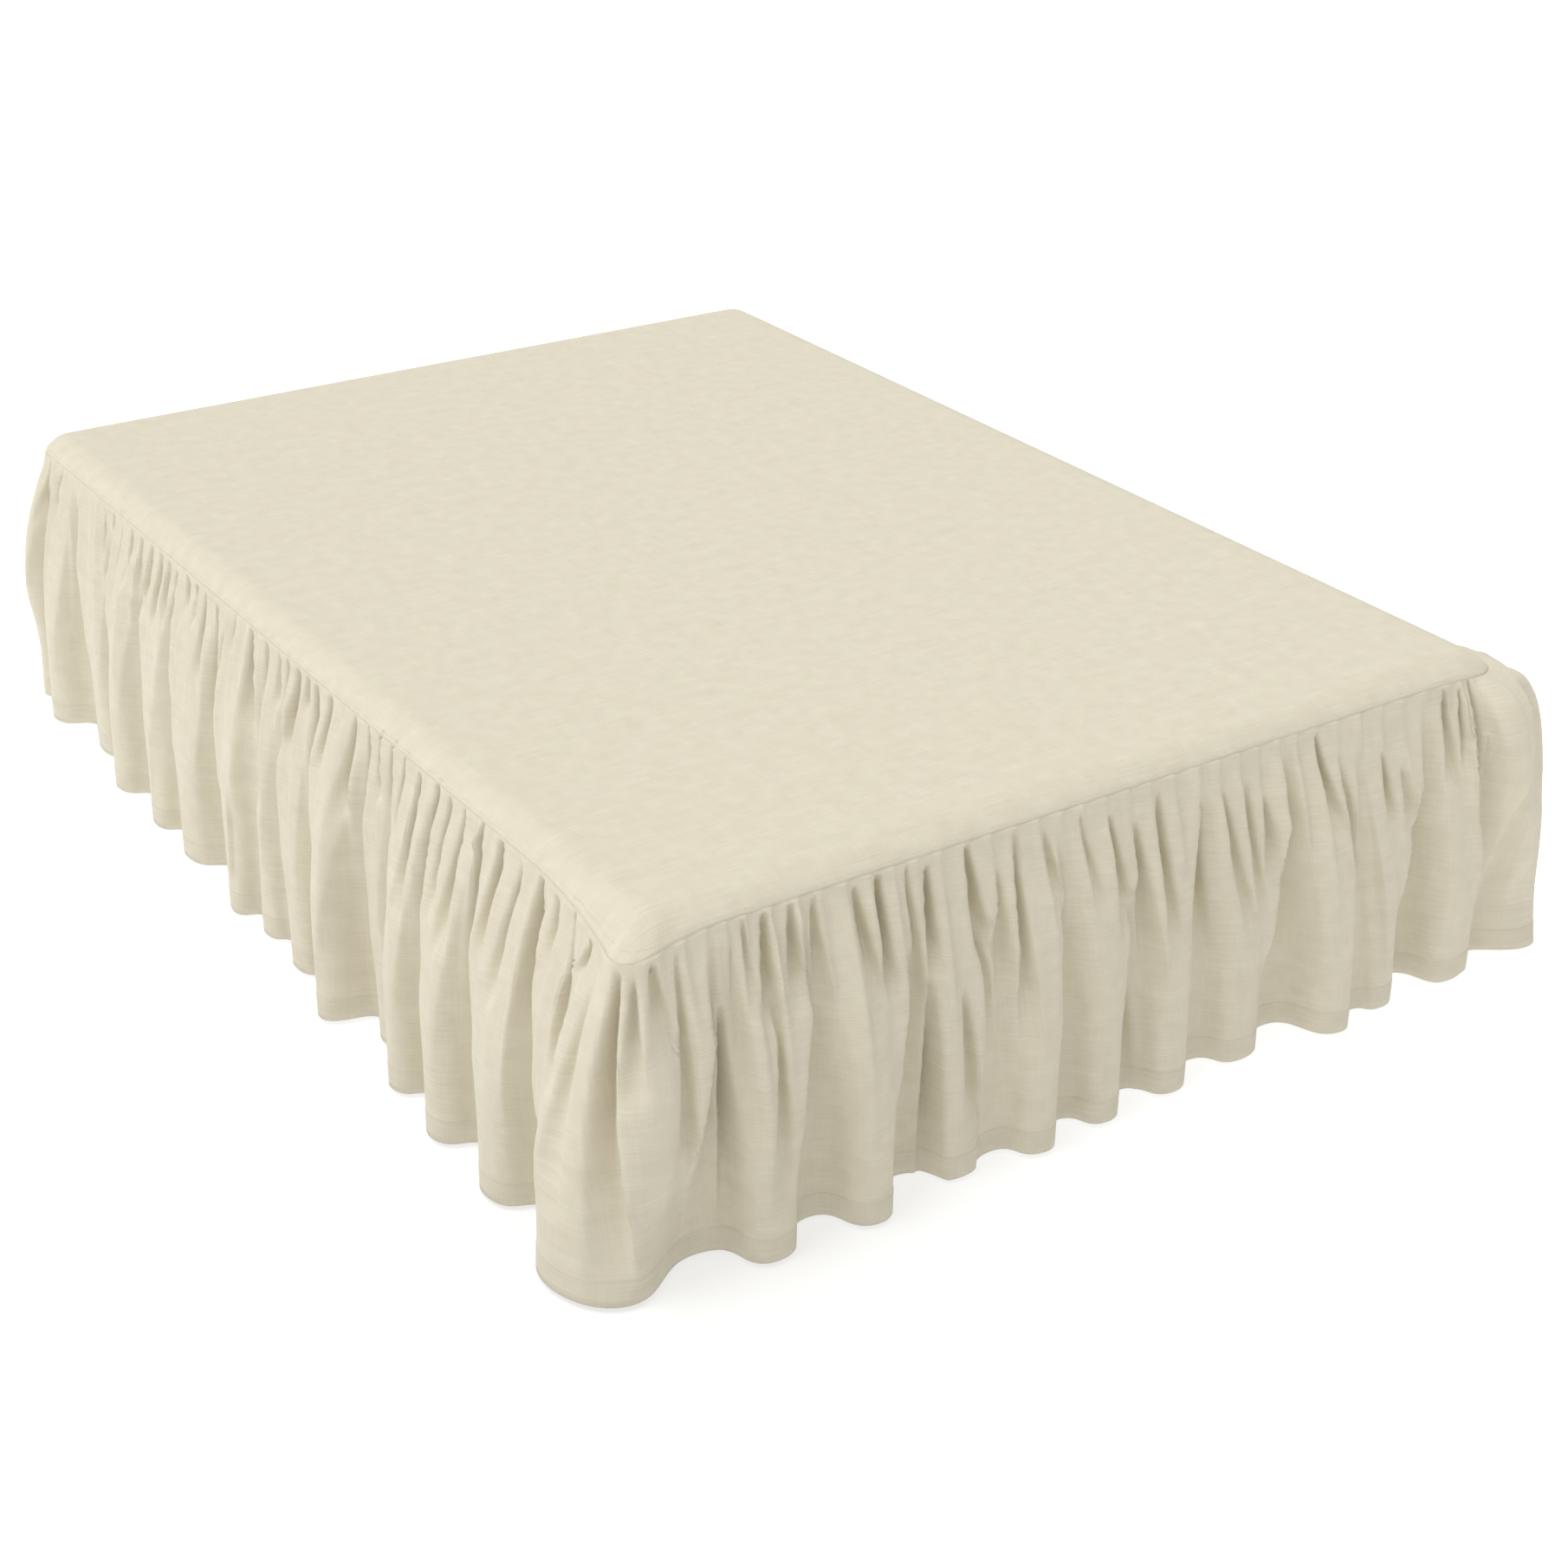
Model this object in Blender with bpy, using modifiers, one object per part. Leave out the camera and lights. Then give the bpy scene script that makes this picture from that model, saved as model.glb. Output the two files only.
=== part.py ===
"""Gathered bed skirt on the box spring that it dresses.

The skirt's deck is a flat piece of cotton that lies on the box spring and turns down over its edge
to a seam. One long ruffle is gathered into that seam: it starts behind the head's left corner, goes
down the left side, round the foot and up the right side, and ends behind the head's right corner.
Metres, +Z up, the foot of the bed towards -Y, and the legs on z = 0.
"""
import bisect
import math
import random
from collections import namedtuple

import bmesh
import bpy
from mathutils import Vector

# Driving sizes
BED_WIDTH = 1.372          # 54 in, over the deck
BED_LENGTH = 1.905         # 75 in, over the deck
DECK_TOP = 0.485           # above the floor
SEAM_DROP = 0.030          # from the deck's top down to the seam
HEM_HEIGHT = 0.006         # above the floor, where the ruffle hangs straight down
HEM_LIFT = 0.01            # what the hem rises for each metre that it stands out
CLOTH = 0.002              # thickness of the cotton
DECK_CORNER = 0.028        # radius of the deck's corners in plan
CORNER_STEPS = 5
HEM_CORNER = 0.080         # the ruffle hangs rounder than the deck's corners
EDGE_ROLL = 0.024          # radius with which the deck turns over the edge
ROLL_STEPS = 4
RETURN_LENGTH = 0.120      # what the ruffle runs on behind a head corner

# Gaps
SEAM_GAP = 0.0008          # between the deck's rim and the ruffle
REST_GAP = 0.0003          # between pieces that lie on each other
EDGE_CLEARANCE = 0.002     # between the deck's turned edge and the box spring
SAME_LEVEL = 0.0003        # points that differ by less are level with each other

# What the skirt dresses
BOX_HEIGHT = 0.230
BOX_CORNER = 0.032
BOX_EDGE = 0.026
LEG_RADIUS = 0.030
LEG_SIDES = 24
LEG_INSET = 0.095          # from the box spring's side to a leg's axis
LEG_ROWS = (-1, 0, 1)      # at the foot, in the middle and at the head

# The deck's corners are cut full. Each hangs below the seam's level and stands out from the box
# spring, most at its tip and less along the foot or head (reach_x) and along the side (reach_y).
Corner = namedtuple("Corner", "right head dip push_x push_y reach_x reach_y")
CORNERS = (
    Corner(-1, -1, 0.027, -0.026, -0.002, 0.120, 0.250),
    Corner(1, -1, 0.012, 0.018, -0.003, 0.150, 0.200),
    Corner(-1, 1, 0.007, -0.006, 0.002, 0.120, 0.150),
    Corner(1, 1, 0.007, 0.006, 0.002, 0.120, 0.150),
)
# How much is left of a corner's dip and push at these shares of its reach
FULLNESS = ((0.0, 1.0), (0.13, 0.80), (0.30, 0.52), (0.55, 0.21), (0.78, 0.05), (1.0, 0.0))

# Gathers
CLOTH_PER_GATHER = 0.046
SEAM_EVENNESS = 0.5        # 0 keeps a fold's top over its hem, 1 spaces all the gathers evenly
COLUMNS_PER_GATHER = 3
SEAM_RISE = 0.003          # height of a gather at the seam
SWELL = 0.011              # what it grows by just below the seam
SWELL_DEPTH = 0.09         # share of the drop over which it grows
FADE_DEPTH = 0.45          # share of the drop over which it dies away
HEIGHTS = (0.65, 1.25)     # how unlike the gathers are
LASTING = (0.55, 1.50)
ROW_SHARES = (0.0, 0.03, 0.105, 0.25, 0.53, 1.0)

# Large folds
FLARE = 2.2                # how quickly a fold leaves the side of the bed
PUFF = 6.0                 # the same, for a fold that stands out right from the seam
SETTLE_DEPTH = 0.7         # share of the drop over which the large folds form
STEEPNESS = 0.045          # how much steeper their flanks are than a plain wave's
FOOT_LEAN = 0.030          # how far the foot's folds slant towards the right on the way down

# A fold's crest hangs from a stretch of the seam, at a length along it from its middle or, on a
# corner's arc, at a share of the arc. The crest, and the hollow that follows it, stand out from the
# bed by these lengths at the hem. The folds run from the head's left corner round the foot.
Fold = namedtuple("Fold", "stretch along crest hollow flare", defaults=(FLARE,))
SEEN_FOLDS = (
    Fold("head_left", 0.52, 0.094, 0.045, 2.6),
    Fold("left", -0.870, 0.075, 0.020),
    Fold("left", -0.710, 0.050, 0.022),
    Fold("left", -0.570, 0.079, 0.034),
    Fold("left", -0.416, 0.075, 0.040),
    Fold("left", -0.292, 0.074, 0.020),
    Fold("left", -0.094, 0.081, 0.046),
    Fold("left", -0.010, 0.067, 0.040),
    Fold("left", 0.100, 0.070, 0.034),
    Fold("left", 0.242, 0.098, 0.025),
    Fold("left", 0.350, 0.050, 0.028),
    Fold("left", 0.449, 0.092, 0.046),
    Fold("left", 0.579, 0.100, 0.042),
    Fold("left", 0.728, 0.100, 0.036),
    Fold("foot_left", 0.29, 0.142, 0.024),
    Fold("foot", -0.547, 0.089, 0.036),
    Fold("foot", -0.400, 0.096, 0.025),
    Fold("foot", -0.259, 0.074, 0.050),
    Fold("foot", -0.133, 0.090, 0.042),
    Fold("foot", -0.021, 0.082, 0.038),
    Fold("foot", 0.100, 0.077, 0.029),
    Fold("foot", 0.230, 0.068, 0.020),
    Fold("foot", 0.397, 0.093, 0.058),
    Fold("foot", 0.491, 0.078, 0.017),
    Fold("foot_right", 0.16, 0.082, 0.064),
    Fold("foot_right", 0.62, 0.172, 0.045, PUFF),
)
# The right side's folds are of the same kinds, spaced by a seeded rule
RIGHT_FOLDS = 12
RIGHT_SHIFT = 0.2          # of the space between two folds
RIGHT_CRESTS = (0.070, 0.100)
RIGHT_HOLLOWS = (0.020, 0.048)
LAST_CORNER_FOLD = Fold("head_right", 0.50, 0.100, 0.014)
END_CREST = 0.020          # a free end of the ruffle
END_HOLLOW = 0.014
SEED = 11

CREASE_ANGLE = 50          # edges sharper than this many degrees stay crisp

Stretch = namedtuple("Stretch", "name length x y heading corner start")


class Edge:
    """The bed's edge in plan, from behind the head's left corner round the foot to the right one.

    It is made of straight stretches and corner arcs, each with its start, heading and length.
    """

    def __init__(self, radius):
        self.radius = radius
        x = BED_WIDTH / 2 - radius
        y = BED_LENGTH / 2 - radius
        arc = radius * math.pi / 2
        behind = RETURN_LENGTH - radius
        rows = (
            ("return_left", behind, behind - x, y, 180, False),
            ("head_left", arc, -x, y, 180, True),
            ("left", 2 * y, -x, y, 270, False),
            ("foot_left", arc, -x, -y, 270, True),
            ("foot", 2 * x, -x, -y, 0, False),
            ("foot_right", arc, x, -y, 0, True),
            ("right", 2 * y, x, -y, 90, False),
            ("head_right", arc, x, y, 90, True),
            ("return_right", behind, x, y, 180, False),
        )
        self.stretches = []
        self.length = 0.0
        for name, length, start_x, start_y, heading, corner in rows:
            stretch = Stretch(name, length, start_x, start_y, heading, corner, self.length)
            self.stretches.append(stretch)
            self.length += length

    def place(self, fold):
        """How far along the edge a fold's crest is."""
        stretch = next(stretch for stretch in self.stretches if stretch.name == fold.stretch)
        if stretch.corner:
            return stretch.start + fold.along * stretch.length
        return stretch.start + stretch.length / 2 + fold.along

    def point(self, s):
        """The point in plan and the outward direction, at the length s along the edge."""
        starts = [stretch.start for stretch in self.stretches]
        stretch = self.stretches[max(bisect.bisect_right(starts, s) - 1, 0)]
        along = s - stretch.start
        turn = math.radians(stretch.heading)
        if stretch.corner:
            turn += along / self.radius
            along = 0.0
        outward = Vector((math.sin(turn), -math.cos(turn), 0))
        forward = Vector((math.cos(turn), math.sin(turn), 0))
        base = Vector((stretch.x, stretch.y, 0))
        return base + outward * self.radius + forward * along, outward


def smooth(x):
    x = min(max(x, 0.0), 1.0)
    return x * x * (3 - 2 * x)


def mix(a, b, share):
    return a + (b - a) * share


def fullness(away):
    """Straight lines between the rows of FULLNESS, which the deck's rim has a corner at."""
    for (start, at_start), (end, at_end) in zip(FULLNESS, FULLNESS[1:]):
        if away < end:
            return mix(at_start, at_end, (away - start) / (end - start))
    return 0.0


def corner_shift(x, y):
    """What the full corners add to the place of the seam."""
    shift = Vector((0, 0, 0))
    for corner in CORNERS:
        away_x = abs(x - corner.right * BED_WIDTH / 2) / corner.reach_x
        away_y = abs(y - corner.head * BED_LENGTH / 2) / corner.reach_y
        shift += fullness(away_x + away_y) * Vector((corner.push_x, corner.push_y, -corner.dip))
    return shift


def all_folds():
    """The folds from one free end of the ruffle to the other."""
    chance = random.Random(SEED)
    side = BED_LENGTH - 2 * HEM_CORNER
    behind = RETURN_LENGTH - HEM_CORNER
    folds = [Fold("return_left", -behind / 2, END_CREST, END_HOLLOW), *SEEN_FOLDS]
    for i in range(RIGHT_FOLDS):
        along = (i + 0.5 + chance.uniform(-RIGHT_SHIFT, RIGHT_SHIFT)) * side / RIGHT_FOLDS
        folds.append(Fold("right", along - side / 2, chance.uniform(*RIGHT_CRESTS),
                          chance.uniform(*RIGHT_HOLLOWS), PUFF if i == 0 else FLARE))
    folds.append(LAST_CORNER_FOLD)
    folds.append(Fold("return_right", behind / 2, END_CREST, END_HOLLOW))
    return folds


class Ruffle:
    """The hanging cloth, as a function of the gather and of the share of the drop.

    A gather is one pucker of the seam, and gathers are counted from the ruffle's left end. Each
    large fold spans as many gathers as the cloth of its hem takes up.
    """

    def __init__(self):
        self.seam_edge = Edge(DECK_CORNER)
        self.hem_edge = Edge(HEM_CORNER)
        self.folds = all_folds()
        self.at_hem = [self.hem_edge.place(fold) for fold in self.folds]
        self.gathers = [0]
        for i in range(len(self.folds) - 1):
            count = max(2, round(self.hem_cloth(i) / CLOTH_PER_GATHER))
            self.gathers.append(self.gathers[-1] + count)
        self.pitch = self.seam_edge.length / self.gathers[-1]
        self.at_seam = []
        for fold, gather in zip(self.folds, self.gathers):
            above = self.seam_edge.place(fold) - (FOOT_LEAN if fold.stretch == "foot" else 0.0)
            self.at_seam.append(mix(above, gather * self.pitch, SEAM_EVENNESS))
        self.at_seam[0] = 0.0
        self.at_seam[-1] = self.seam_edge.length
        chance = random.Random(SEED + 1)
        self.unlike = [(chance.uniform(*HEIGHTS), chance.uniform(*LASTING))
                       for _ in range(self.gathers[-1] + 1)]

    def hem_cloth(self, i):
        """Length of the hem from the crest of fold i, down its hollow and up to the next crest."""
        places = (self.at_hem[i], (self.at_hem[i] + self.at_hem[i + 1]) / 2, self.at_hem[i + 1])
        outs = (self.folds[i].crest, self.folds[i].hollow, self.folds[i + 1].crest)
        points = []
        for s, out in zip(places, outs):
            point, outward = self.hem_edge.point(s)
            points.append(point + outward * out)
        return (points[1] - points[0]).length + (points[2] - points[1]).length

    def between(self, gather):
        """The fold that a gather belongs to, and its share of the way to the next fold."""
        i = min(bisect.bisect_right(self.gathers, gather), len(self.folds) - 1) - 1
        return i, (gather - self.gathers[i]) / (self.gathers[i + 1] - self.gathers[i])

    def bed_edge(self, gather, drop):
        """The edge of the bed that the cloth stands out from, and the way out."""
        i, part = self.between(gather)
        steep = part + STEEPNESS * math.sin(4 * math.pi * part)
        above, way_above = self.seam_edge.point(mix(self.at_seam[i], self.at_seam[i + 1], part))
        below, way_below = self.hem_edge.point(mix(self.at_hem[i], self.at_hem[i + 1], steep))
        shift = corner_shift(above.x, above.y)
        above += shift
        above.z += DECK_TOP - SEAM_DROP - SEAM_GAP
        below.z = HEM_HEIGHT
        edge = mix(above, below, smooth(drop))
        edge.z = mix(above.z, below.z, drop)
        return edge, mix(way_above, way_below, smooth(drop)).normalized()

    def gather_rise(self, gather, drop):
        """What the gathers add to the distance from the bed."""
        i, _ = self.between(gather)
        room = (self.at_seam[i + 1] - self.at_seam[i]) / (self.gathers[i + 1] - self.gathers[i])
        height, lasting = self.unlike[round(gather)]
        ridge = 0.5 + 0.5 * math.cos(2 * math.pi * gather)
        fade = 1 - smooth(drop / (FADE_DEPTH * lasting))
        rise = (SEAM_RISE + SWELL * height * smooth(drop / SWELL_DEPTH)) * fade
        return rise * ridge * min(room / self.pitch, 1)

    def out(self, gather, drop):
        """How far the cloth stands out from the edge of the bed."""
        i, part = self.between(gather)
        fold, following = self.folds[i], self.folds[i + 1]
        crest = mix(fold.crest, following.crest, smooth(part))
        middle = (crest + fold.hollow) / 2
        depth = (crest - fold.hollow) / 2 * math.cos(2 * math.pi * part)
        flare = mix(fold.flare, following.flare, smooth(part))
        stand = middle * (1 - (1 - drop) ** flare) + depth * smooth(drop / SETTLE_DEPTH)
        return stand + self.gather_rise(gather, drop)

    def point(self, gather, drop):
        edge, outward = self.bed_edge(gather, drop)
        out = self.out(gather, drop)
        point = edge + outward * out
        point.z += HEM_LIFT * out * drop
        return point


def material(name, colour, roughness, metallic=0.0):
    made = bpy.data.materials.new(name)
    made.use_nodes = True
    shader = made.node_tree.nodes["Principled BSDF"]
    shader.inputs["Base Color"].default_value = (*colour, 1)
    shader.inputs["Roughness"].default_value = roughness
    shader.inputs["Metallic"].default_value = metallic
    return made


def add_object(name, mesh_edit, collection, finish):
    mesh = bpy.data.meshes.new(name)
    mesh_edit.to_mesh(mesh)
    mesh_edit.free()
    mesh.shade_smooth()
    mesh.set_sharp_from_angle(angle=math.radians(CREASE_ANGLE))
    mesh.materials.append(finish)
    made = bpy.data.objects.new(name, mesh)
    collection.objects.link(made)
    return made


def thicken(sheet):
    """A sheet drawn on its outer face becomes cloth, thickened towards the bed."""
    thickness = sheet.modifiers.new("cloth", "SOLIDIFY")
    thickness.thickness = CLOTH
    thickness.offset = -1
    thickness.use_even_offset = True


def rounded_box(width, length, bottom, top, corner, edge, with_bottom_edge=True):
    """A block with round corners in plan and rolled edges."""
    box = bmesh.new()
    bmesh.ops.create_cube(box, size=1)
    bmesh.ops.scale(box, vec=(width, length, top - bottom), verts=box.verts)
    bmesh.ops.translate(box, vec=(0, 0, (top + bottom) / 2), verts=box.verts)
    upright = [e for e in box.edges if abs(e.verts[0].co.z - e.verts[1].co.z) > edge]
    bmesh.ops.bevel(box, geom=upright, offset=corner, segments=CORNER_STEPS, profile=0.5,
                    affect="EDGES")
    ends = (bottom, top) if with_bottom_edge else (top,)
    level = [e for e in box.edges
             if any(abs(v.co.z - end) < SAME_LEVEL for end in ends for v in e.verts)
             and abs(e.verts[0].co.z - e.verts[1].co.z) < SAME_LEVEL]
    bmesh.ops.bevel(box, geom=level, offset=edge, segments=ROLL_STEPS, profile=0.5, affect="EDGES")
    return box


def cut_across(box, axis, place):
    where = Vector((0, 0, 0))
    where[axis] = place
    normal = Vector((0, 0, 0))
    normal[axis] = 1
    bmesh.ops.bisect_plane(box, geom=box.verts[:] + box.edges[:] + box.faces[:],
                           dist=SAME_LEVEL, plane_co=where, plane_no=normal)


def add_deck(collection, cotton):
    seam = DECK_TOP - SEAM_DROP
    deck = rounded_box(BED_WIDTH, BED_LENGTH, seam, DECK_TOP, DECK_CORNER, EDGE_ROLL,
                       with_bottom_edge=False)
    underside = [f for f in deck.faces if f.calc_center_median().z < seam + SAME_LEVEL]
    bmesh.ops.delete(deck, geom=underside, context="FACES")
    cuts = set()
    for corner in CORNERS:
        for away, _ in FULLNESS[1:]:
            cuts.add((0, round(corner.right * (BED_WIDTH / 2 - away * corner.reach_x), 5)))
            cuts.add((1, round(corner.head * (BED_LENGTH / 2 - away * corner.reach_y), 5)))
    for axis, place in sorted(cuts):
        cut_across(deck, axis, place)
    for vertex in deck.verts:
        turned = (DECK_TOP - vertex.co.z) / EDGE_ROLL
        vertex.co += corner_shift(vertex.co.x, vertex.co.y) * smooth(turned)
    thicken(add_object("deck", deck, collection, cotton))


def add_ruffle(collection, cotton):
    """One sheet: a grid of gathers across and rows down, hung from the seam."""
    ruffle = Ruffle()
    across = ruffle.gathers[-1] * COLUMNS_PER_GATHER
    down = len(ROW_SHARES) - 1
    sheet = bmesh.new()
    bmesh.ops.create_grid(sheet, x_segments=across, y_segments=down, size=1)
    for vertex in sheet.verts:
        column = round((vertex.co.x + 1) / 2 * across)
        row = round((1 - vertex.co.y) / 2 * down)
        vertex.co = ruffle.point(column / COLUMNS_PER_GATHER, ROW_SHARES[row])
    thicken(add_object("ruffle", sheet, collection, cotton))


def add_box_spring(collection, ticking):
    side = CLOTH + EDGE_CLEARANCE
    top = DECK_TOP - CLOTH - REST_GAP
    box = rounded_box(BED_WIDTH - 2 * side, BED_LENGTH - 2 * side, top - BOX_HEIGHT, top,
                      BOX_CORNER, BOX_EDGE)
    add_object("box_spring", box, collection, ticking)


def add_legs(collection, wood):
    height = DECK_TOP - CLOTH - BOX_HEIGHT - 2 * REST_GAP
    inset = CLOTH + EDGE_CLEARANCE + LEG_INSET
    leg = bmesh.new()
    bmesh.ops.create_cone(leg, cap_ends=True, segments=LEG_SIDES, radius1=LEG_RADIUS,
                          radius2=LEG_RADIUS, depth=height)
    first = add_object("leg_1", leg, collection, wood)
    legs = [first]
    for i in range(1, 2 * len(LEG_ROWS)):
        legs.append(bpy.data.objects.new(f"leg_{i + 1}", first.data))
        collection.objects.link(legs[-1])
    for i, made in enumerate(legs):
        side = -1 if i % 2 == 0 else 1
        x = side * (BED_WIDTH / 2 - inset)
        y = LEG_ROWS[i // 2] * (BED_LENGTH / 2 - inset)
        made.location = (x, y, height / 2)


def centre_on_origin(collection):
    """The plan centre of the whole part, with its folds, comes to the origin."""
    bpy.context.view_layer.update()
    graph = bpy.context.evaluated_depsgraph_get()
    corners = [made.matrix_world @ Vector(corner) for made in collection.objects
               for corner in made.evaluated_get(graph).bound_box]
    for axis in (0, 1):
        places = [corner[axis] for corner in corners]
        middle = (min(places) + max(places)) / 2
        for made in collection.objects:
            made.location[axis] -= middle


def main():
    for old in list(bpy.data.objects):
        bpy.data.objects.remove(old)
    collection = bpy.data.collections.new("bed_skirt")
    bpy.context.scene.collection.children.link(collection)
    cotton = material("cotton", (0.78, 0.72, 0.58), 0.9)
    ticking = material("ticking", (0.82, 0.80, 0.76), 0.85)
    wood = material("wood", (0.45, 0.30, 0.18), 0.5)
    add_deck(collection, cotton)
    add_ruffle(collection, cotton)
    add_box_spring(collection, ticking)
    add_legs(collection, wood)
    centre_on_origin(collection)


main()
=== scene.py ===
import math
import random
from collections import namedtuple

import bpy
import numpy as np
from mathutils import Matrix, Vector
from mathutils.bvhtree import BVHTree


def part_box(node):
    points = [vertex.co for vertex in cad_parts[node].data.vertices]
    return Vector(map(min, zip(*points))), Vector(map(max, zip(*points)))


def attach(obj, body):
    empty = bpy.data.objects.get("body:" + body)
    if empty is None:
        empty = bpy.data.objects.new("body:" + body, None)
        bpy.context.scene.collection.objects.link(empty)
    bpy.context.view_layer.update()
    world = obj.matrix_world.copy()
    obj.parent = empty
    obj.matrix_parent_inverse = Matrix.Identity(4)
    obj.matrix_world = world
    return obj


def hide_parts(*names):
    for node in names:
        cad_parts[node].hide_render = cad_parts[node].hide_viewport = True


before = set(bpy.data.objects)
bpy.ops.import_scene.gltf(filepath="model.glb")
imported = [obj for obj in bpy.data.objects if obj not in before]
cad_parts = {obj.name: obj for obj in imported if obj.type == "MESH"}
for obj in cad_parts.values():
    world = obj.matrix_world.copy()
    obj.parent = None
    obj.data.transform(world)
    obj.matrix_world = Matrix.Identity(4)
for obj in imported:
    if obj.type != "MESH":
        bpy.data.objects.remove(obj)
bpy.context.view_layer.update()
print("frame loaded:", ", ".join(sorted(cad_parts)))

# The bed under the skirt, measured on the frame
boxLow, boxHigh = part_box("box_spring")
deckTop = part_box("deck")[1].z
bedMiddle = (boxLow + boxHigh) / 2
bed = {
    "sideGap": 0.004,  # from the box spring's side out to the deck's rim
    "seamDrop": 0.024,  # from the deck's top down to the seam
    "corner": 0.028,  # radius of the deck's corners in plan, where its rim begins
    "standOut": 0.016,  # how far the bulk of the gathers holds the seam off the bed
}
bedHalfX = (boxHigh.x - boxLow.x) / 2 + bed["sideGap"]
bedHalfY = (boxHigh.y - boxLow.y) / 2 + bed["sideGap"]
seamHeight = deckTop - bed["seamDrop"]
rimReach = bed["corner"] + bed["standOut"]
rimTurn = 2 * math.atan(bed["seamDrop"] / rimReach)  # the deck's rim is a part of a circle
rimBend = rimReach / math.sin(rimTurn)

# The deck's corners are cut full. Each hangs below the seam's level and stands out from the bed,
# most at its tip and less along the foot or head (reachX) and along the side (reachY). At the seam
# the tip is also drawn out to a point.
Corner = namedtuple("Corner", "right head dip pushX pushY reachX reachY point")
fullCorners = [
    Corner(-1, -1, 0.027, -0.022, -0.002, 0.120, 0.250, 0.018),
    Corner(1, -1, 0.006, 0.010, -0.003, 0.150, 0.200, 0.003),
    Corner(-1, 1, 0.007, 0.002, 0.000, 0.120, 0.150, 0.004),
    Corner(1, 1, 0.007, -0.002, 0.000, 0.120, 0.150, 0.004),
]

# A fold's crest hangs from a stretch of the seam, at a length along it from its middle or, on a
# corner's arc, at a share of the arc. Crest and hollow are what they stand out at the hem, and
# flare is how quickly the fold leaves the side of the bed. Drops are shares of the whole one.
plainFlare = 2.2
Fold = namedtuple("Fold", "stretch along crest hollow flare", defaults=(plainFlare,))
ruffle = {
    "hemHeight": 0.006,  # above the floor
    "hemLift": 0.01,  # what the hem rises for each metre that it stands out
    "hemCorner": 0.080,  # the ruffle hangs rounder than the deck's corners
    "returnLength": 0.120,  # what runs on behind a head corner
    "clothPerGather": 0.046,  # what a gather takes up along the hem
    "fewestGathers": 2,  # in a fold
    "evenness": 0.5,  # how evenly the gathers are spaced along the seam
    "settleDepth": 0.7,  # drop over which the large folds form
    "steepness": 0.045,  # how much steeper the hem's flanks are than a plain wave's
    "footLean": 0.030,  # how far the foot's folds slant to the right on the way down
    "standEnd": 0.6,  # drop at which the seam's standing out is no longer felt
    "puff": 6.0,  # flare of a fold that stands out right from the seam
    "puffShare": 0.47,  # of what it stands out, the part that it takes at once
    "puffSpeed": 14,
    "puffRest": 0.8,  # power of the drop by which it takes the rest
    "leastOut": 0.0005,  # the cloth stays this far off the bed, once down to leastDrop
    "leastDrop": 0.05,
    "rightFolds": 12,  # the right side's are spaced and sized at random
    "rightShift": 0.2,  # of the space between two of them
    "rightCrests": (0.070, 0.100),
    "rightHollows": (0.020, 0.048),
    "endCrest": 0.020,  # at the ruffle's two ends, behind the head
    "endHollow": 0.014,
    "seed": 11,
}
placedFolds = {
    "headLeft": [(0.52, 0.094, 0.045, 2.6)],
    "left": [
        (-0.870, 0.075, 0.020), (-0.710, 0.050, 0.022), (-0.570, 0.079, 0.034), (-0.416, 0.075, 0.040),
        (-0.292, 0.074, 0.020), (-0.094, 0.081, 0.046), (-0.010, 0.067, 0.040), (0.100, 0.070, 0.034),
        (0.242, 0.098, 0.025), (0.350, 0.050, 0.028), (0.449, 0.092, 0.046), (0.579, 0.100, 0.042),
        (0.728, 0.100, 0.036),
    ],
    "footLeft": [(0.33, 0.136, 0.024, 1.35)],
    "foot": [
        (-0.547, 0.089, 0.036), (-0.400, 0.096, 0.025), (-0.259, 0.074, 0.050), (-0.133, 0.090, 0.042),
        (-0.021, 0.082, 0.038), (0.100, 0.077, 0.029), (0.230, 0.068, 0.020), (0.397, 0.093, 0.058),
        (0.491, 0.078, 0.017),
    ],
    "footRight": [(0.16, 0.082, 0.064), (0.62, 0.178, 0.045, ruffle["puff"])],
}
lastCornerFold = Fold("headRight", 0.50, 0.100, 0.014)

# Between two folds a hollow opens from a point under the seam. Its lip towards the foot's left
# corner is sharp and has an elbow, where the cloth stops flaring and hangs straight. Places count
# gathers from the ruffle's left end.
hollows = {
    "shift": 0.4,  # of the hollow's point against its place at the hem, in gathers
    "shiftSpread": (0.2, 1.6),
    "slant": 0.8,  # power of the drop by which it goes over from one to the other
    "opens": (0.0, 0.16),
    "opening": (0.02, 0.14),  # how far above its point it begins to open, and over what drop
    "sharpSide": (0.15, 1.0),  # half width in gathers, and what it grows down the drop
    "softSide": (0.35, 1.7),
    "wedge": 0.85,  # power that rounds its floor
    "lipWidth": 0.55,
    "soonness": 1.35,  # how much sooner than elsewhere the crests beside it stand out
    "elbow": (0.22, 0.40),
    "bulge": (0.002, 0.008),
    "overhang": 0.9,  # share of the bulge that also leans over the hollow
    "above": 0.13,  # how fast the bulge fades above its elbow and below it
    "below": 0.30,
    "settled": (0.58, 1.0),  # between these drops it takes the hem's plain wave
    "fullness": 0.62,  # how far the folds fill out towards their crests beside it
    "depth": 0.9,
    "match": 0.6,  # a placed one stands for any whose place is this near
}
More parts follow.
